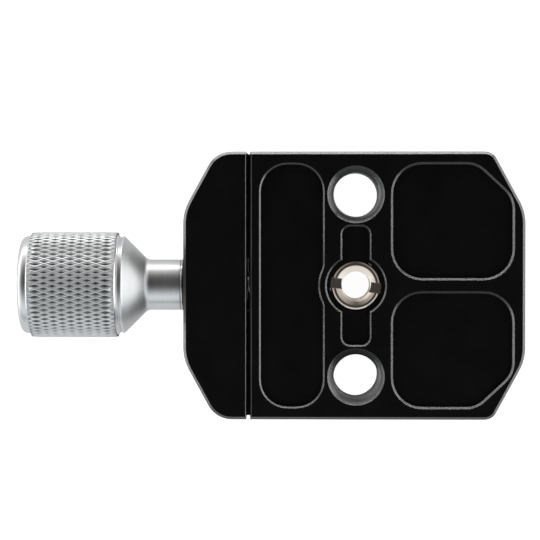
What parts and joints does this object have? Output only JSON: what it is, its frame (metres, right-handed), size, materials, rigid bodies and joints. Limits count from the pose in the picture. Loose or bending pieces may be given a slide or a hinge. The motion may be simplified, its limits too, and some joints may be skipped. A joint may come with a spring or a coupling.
{
  "type": "dovetail quick release clamp",
  "caption": "Screw-knob quick release clamp with a dovetail channel, a sprung sliding jaw and a threaded mounting face.",
  "frame": {"origin": "where the axis of the central thread meets the plane of the mounting face, with the clamp lying on its jaws", "axes": "+X along the clamping screw from the knob to the fixed jaw, +Y along the dovetail channel, +Z out of the mounting face"},
  "size_m": [0.0947, 0.05, 0.0237],
  "materials": {
    "black_aluminium": "fine blasted, black anodised",
    "silver_aluminium": "satin, clear anodised",
    "nickel_steel": "turned, nickel plated",
    "steel": "ground stainless",
    "black_plastic": "matte nylon"
  },
  "bodies": {
    "body": {"clamp_body": "black_aluminium", "thread_bushing": "nickel_steel", "guide_pin_plus_y": "steel", "guide_pin_minus_y": "steel"},
    "jaw": {"moving_jaw": "black_aluminium", "return_spring": "steel", "slip_washer": "black_plastic"},
    "knob": {"clamp_knob": "silver_aluminium", "clamp_screw": "steel", "steel_washer": "steel"}
  },
  "joints": [
    {"name": "jaw_slide", "type": "slide", "parent": "body", "child": "jaw", "axis": [-1, 0, 0], "range_m": [-0.0007, 0.004], "deforming": ["return_spring"]},
    {"name": "knob_turn", "type": "hinge", "parent": "jaw", "child": "knob", "pos_m": [-0.04, 0, -0.00679], "axis": [-1, 0, 0], "range_deg": [-316, 1801]}
  ],
  "couplings": [
    {"joint": "knob_turn", "follows": "jaw_slide", "rad_per_m": 7854}
  ]
}
